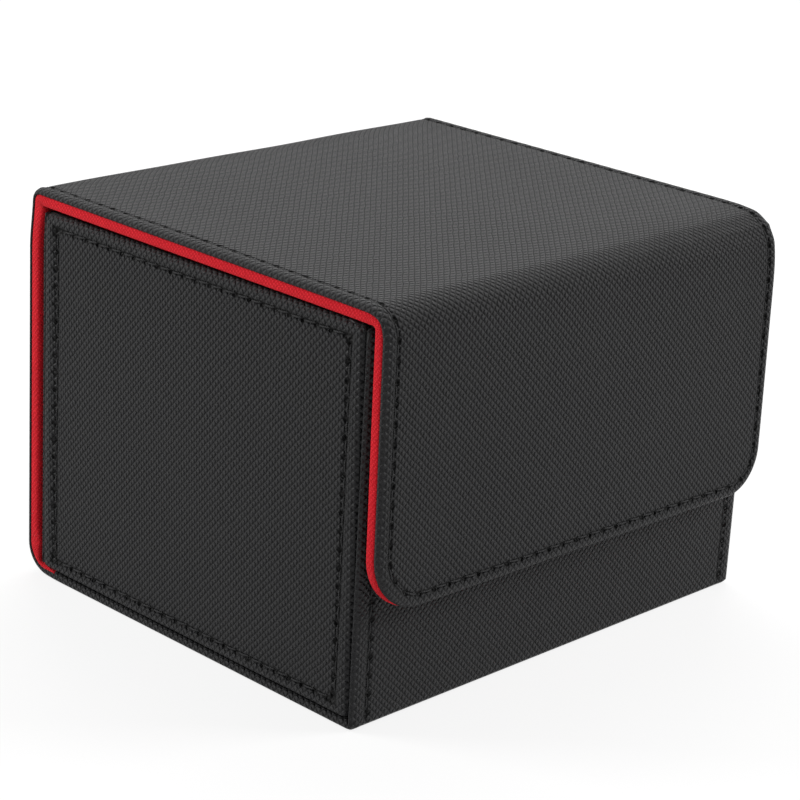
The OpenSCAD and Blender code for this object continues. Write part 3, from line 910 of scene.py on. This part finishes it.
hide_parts("base_skin", "base_fold_skin", "back_skin")
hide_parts("back_skin", "rear_fold_skin", "top_skin")
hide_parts("top_skin", "front_fold_skin", "flap_skin")
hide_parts("base_fold_lining", "back_lining")
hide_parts("back_lining", "rear_fold_lining", "top_lining")
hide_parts("top_lining", "front_fold_lining", "flap_lining")
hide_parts("back_stitching")
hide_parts("back_stitching", "top_stitching")
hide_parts("top_stitching", "flap_stitching")

# ---------------------------------------------------------------- the tray's leather


S_STRIP = tray_strip.length
wall_kw = 3.5 / D_ST            # a wide border outside the front wall's stitches


def wall_sewn(u, s):
    return smooth(1.0, 2.0, s) * smooth(RIM - TOE + 0.5, RIM - TOE - 0.5, s) * (abs(u) > HW - 6)


tray_sheet = Sheet(strip_at, (-HW, HW), (0, S_STRIP),
                   {"L": wall_kw, "R": wall_kw, "T": 0.8, "B": None}, THIN_EDGE, {"TL": 0.6, "TR": 0.6},
                   100, round(S_STRIP / 0.9),
                   [(("R",), -S_STRIP / TPITCH, -2.8 / TPITCH), (("L",), 2.8 / TPITCH, S_STRIP / TPITCH)],
                   wall_sewn, 0.02)
tray_strip_obj = tray_sheet.build("tray_front_leather", black_wall, (0, -S_STRIP))
tray_thread = sew("tray_front_thread", strip_at, tray_sheet.chains, cord)


PANEL_T = 2.4                   # edge depth that PANEL_EDGE is drawn for


def plane(origin, udir, sdir, out, wave, shift, drawn=PANEL_T, real=PANEL_T):
    """place(u, s, h) for a flat wall, with its own stretch of the ripple."""
    o, a, b, n = (np.array(v, float) for v in (origin, udir, sdir, out))

    def place(u, s, h):
        u, s, h = (np.asarray(v, float) for v in (u, s, h))
        h = to_thickness(h, real, drawn, 0.4)
        h = h + ripple(u + shift, s + shift, wave)
        p = o + u[:, None] * a + s[:, None] * b + h[:, None] * n
        return settle(p[:, 0], p[:, 1], p[:, 2])
    return place


# side panels: u runs towards +Y, s runs down
py0, py1, pz0, pz1 = left_lo[1], left_hi[1], left_lo[2], left_hi[2]
IN_FRONT, IN_REAR, IN_OTHER = 3.3, 4.0, 2.6     # stitch lines in from the panel's edges
K_FRONT, K_REAR, K_OTHER = (v / D_ST for v in (IN_FRONT, IN_REAR, IN_OTHER))


def panel(name, side):
    place = plane((side * HW, 0, 0), (0, 1, 0), (0, 0, -1), (side, 0, 0), 1.1, 40 * side)
    u0, u1, s0, s1 = py0 - 0.1, py1 + 1.3, -pz1 - 0.45, -pz0 + 0.08
    n_u = round((u1 - u0 - IN_FRONT - IN_REAR) / TPITCH)
    n_s = round((s1 - s0 - 2 * IN_OTHER) / TPITCH)
    groups = [(("L",), 0, n_s), (("B",), n_s, n_s + n_u), (("R",), n_s + n_u, 2 * n_s + n_u),
              (("T",), 2 * n_s + n_u, 2 * n_s + 2 * n_u)]
    sheet = Sheet(place, (u0, u1), (s0, s1), {"L": K_FRONT, "R": K_REAR, "T": K_OTHER, "B": K_OTHER},
                  PANEL_EDGE, {c: 1.5 for c in ("TL", "TR", "BL", "BR")}, 4 * n_u, 4 * n_s, groups,
                  None, 0.05)
    look = black_panel if side < 0 else black_panel_r
    return (sheet.build(name + "_leather", look, (0, 0)),
            sew(name + "_thread", place, sheet.chains, cord))


left_panel, left_thread = panel("left_panel", -1)
right_panel, right_thread = panel("right_panel", 1)

# rear wall of the tray: u runs along X, s runs down
rear_place = plane((0, rear_hi[1] + 0.2, 0), (1, 0, 0), (0, 0, -1), (0, 1, 0), 0.4, 5,
                   real=rear_hi[1] - rear_lo[1])
rear_wall = Sheet(rear_place, (rear_lo[0] - 0.15, rear_hi[0] + 0.15), (-rear_hi[2], -rear_lo[2]),
                  {"L": 0.7, "R": 0.7, "T": 0.7, "B": 0.7}, PANEL_EDGE, None, 100, 70, None,
                  unsewn).build("rear_wall_leather", black_wall)

# ---------------------------------------------------------------- the tray's red lining

ALL_ROUND = {"L": 1.0, "R": 1.0, "T": 1.0, "B": 1.0}


def lining(name, origin, udir, sdir, out, u, s, thick, cols, shift, profile=SOFT_EDGE):
    """One panel of red lining, as thick as given, with its edges rounded over."""
    place = plane(origin, udir, sdir, out, 0.9, shift, 1.0, 1.0)

    def scaled(uu, ss, h):
        return place(uu, ss, np.asarray(h) * thick)
    return Sheet(scaled, u, s, ALL_ROUND, profile, None, cols, 60, None, unsewn).build(
        name, red, (shift * 3.1, 0))


LT = ll_hi[0] - ll_lo[0]        # lining on the walls
in_x = -ll_hi[0]
red_left = lining("left_wall_lining", (-in_x, 0, 0), (0, 1, 0), (0, 0, -1), (1, 0, 0),
                  (ll_lo[1], ll_hi[1]), (-ll_hi[2], -ll_lo[2]), LT, 70, 3)
red_right = lining("right_wall_lining", (in_x, 0, 0), (0, 1, 0), (0, 0, -1), (-1, 0, 0),
                   (ll_lo[1], ll_hi[1]), (-ll_hi[2], -ll_lo[2]), LT, 70, 9)
red_rear = lining("rear_wall_lining", (0, rl_lo[1], 0), (1, 0, 0), (0, 0, -1), (0, -1, 0),
                  (rl_lo[0], rl_hi[0]), (-rl_hi[2], -rl_lo[2]), LT, 80, 15)
# the front lining runs over the top of its board to the leather
front_deep = fl_hi[1] - front_lo[1] - SKIN
OVER_EDGE = [(1.4, 0), (.9, -.01), (.5, -.05), (.22, -.12), (.06, -.2), (0, -.32), (0, -.6), (0, -.9),
             (.1, -1.0)]
red_front_wall = lining("front_wall_lining", (0, fl_hi[1], 0), (1, 0, 0), (0, 0, -1), (0, 1, 0),
                        (fl_lo[0], fl_hi[0]), (-(RIM - 0.05), -fl_lo[2]), front_deep, 80, 21,
                        OVER_EDGE)
red_floor = lining("floor_cloth", (0, 0, floor_hi[2]), (1, 0, 0), (0, 1, 0), (0, 0, 1),
                   (floor_lo[0], floor_hi[0]), (floor_lo[1], floor_hi[1]), 0.5, 70, 27)

tray_pieces = (tray_strip_obj, tray_thread, left_panel, left_thread, right_panel, right_thread, rear_wall,
               red_left, red_right, red_rear, red_front_wall, red_floor)
for obj in tray_pieces:
    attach(obj, "tray")
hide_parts("front_skin", "base_skin")
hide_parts("front_stitching")
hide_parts("left_skin")
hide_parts("left_stitching")
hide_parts("right_skin")
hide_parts("right_stitching")
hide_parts("rear_skin")
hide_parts("left_lining")
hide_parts("right_lining")
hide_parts("rear_lining")
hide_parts("front_lining")
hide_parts("floor_lining")

for obj in bpy.data.objects:
    if obj.type == "MESH" and obj.name not in frame["nodes"]:
        kind = obj.name.split("_")[-1]

# ---------------------------------------------------------------- studio

scene = bpy.context.scene
FLOOR_Z = -0.0002               # just under the base's ripples
CAMERA_AT = (-0.33460, -0.32447, 0.20130)


def floor_material():
    """Pale floor that goes white for the camera and in reflections, and keeps the shadow."""
    m = Tree("floor")
    m.t.nodes.remove(m.bsdf)
    lp = m.node("ShaderNodeLightPath")
    seen = m.math("MAXIMUM", lp.outputs["Is Camera Ray"], lp.outputs["Is Glossy Ray"])
    seen = m.math("MAXIMUM", seen, lp.outputs["Is Transmission Ray"])
    plain = m.node("ShaderNodeBsdfDiffuse")
    plain.inputs[0].default_value = (0.78, 0.78, 0.78, 1)
    soft = m.node("ShaderNodeBsdfDiffuse")
    soft.inputs[0].default_value = (0.22, 0.22, 0.22, 1)
    glow = m.node("ShaderNodeEmission")
    glow.inputs[0].default_value = (1, 1, 1, 1)
    glow.inputs[1].default_value = 0.82
    both = m.node("ShaderNodeAddShader")
    m.link(soft.outputs[0], both.inputs[0])
    m.link(glow.outputs[0], both.inputs[1])
    mix = m.node("ShaderNodeMixShader")
    m.link(seen, mix.inputs[0])
    m.link(plain.outputs[0], mix.inputs[1])
    m.link(both.outputs[0], mix.inputs[2])
    m.link(mix.outputs[0], m.out.inputs[0])
    return m.mat


bm = bmesh.new()
bmesh.ops.create_grid(bm, x_segments=8, y_segments=8, size=6.0)
mesh = bpy.data.meshes.new("floor")
bm.to_mesh(mesh)
bm.free()
floor = finish_object("floor", mesh, floor_material())
floor.location.z = FLOOR_Z

world = bpy.data.worlds.new("studio")
scene.world = world
world.use_nodes = True
wt = world.node_tree
wt.nodes.clear()
w_out = wt.nodes.new("ShaderNodeOutputWorld")
lit = wt.nodes.new("ShaderNodeBackground")
lit.inputs[0].default_value = (1, 1, 1, 1)
lit.inputs[1].default_value = 0.28
shown = wt.nodes.new("ShaderNodeBackground")
shown.inputs[0].default_value = (1, 1, 1, 1)
shown.inputs[1].default_value = 1.0
pick = wt.nodes.new("ShaderNodeMixShader")
path = wt.nodes.new("ShaderNodeLightPath")
seen = wt.nodes.new("ShaderNodeMath")
seen.operation = "MAXIMUM"
wt.links.new(path.outputs["Is Camera Ray"], seen.inputs[0])
wt.links.new(path.outputs["Is Glossy Ray"], seen.inputs[1])
wt.links.new(seen.outputs[0], pick.inputs[0])
wt.links.new(lit.outputs[0], pick.inputs[1])
wt.links.new(shown.outputs[0], pick.inputs[2])
wt.links.new(pick.outputs[0], w_out.inputs[0])


def softbox(name, at, to, size, power):
    data = bpy.data.lights.new(name, "AREA")
    data.shape = "RECTANGLE"
    data.size, data.size_y = size
    data.energy = power
    obj = bpy.data.objects.new(name, data)
    scene.collection.objects.link(obj)
    obj.location = at
    obj.rotation_euler = (Vector(to) - Vector(at)).to_track_quat("-Z", "Y").to_euler()


softbox("behind", (0.30, 0.30, 0.62), (0, 0, 0.05), (0.5, 0.5), 2.8)
softbox("right", (0.62, -0.50, 0.46), (0.02, -0.03, 0.04), (0.36, 0.36), 4.6)
softbox("left", (-0.50, 0.62, 0.46), (-0.03, 0.02, 0.04), (0.36, 0.36), 4.3)

# camera: a long lens, a little above the box, turned to its front left corner
az, el, roll = (math.radians(v) for v in (-45.93, 19.41, 3.09))
back_v = Vector((math.sin(az) * math.cos(el), -math.cos(az) * math.cos(el), math.sin(el)))
fwd = -back_v
right = fwd.cross(Vector((0, 0, 1))).normalized()
up = right.cross(fwd)
x_ax = math.cos(roll) * right + math.sin(roll) * up
y_ax = -math.sin(roll) * right + math.cos(roll) * up
cam_data = bpy.data.cameras.new("camera")
cam_data.lens = 116.1
cam_data.sensor_width = 36
cam_data.clip_start = 0.01
cam = bpy.data.objects.new("camera", cam_data)
scene.collection.objects.link(cam)
cam.matrix_world = Matrix((
    (x_ax.x, y_ax.x, back_v.x, CAMERA_AT[0]), (x_ax.y, y_ax.y, back_v.y, CAMERA_AT[1]),
    (x_ax.z, y_ax.z, back_v.z, CAMERA_AT[2]), (0, 0, 0, 1)))
scene.camera = cam
scene.view_settings.view_transform = "Standard"
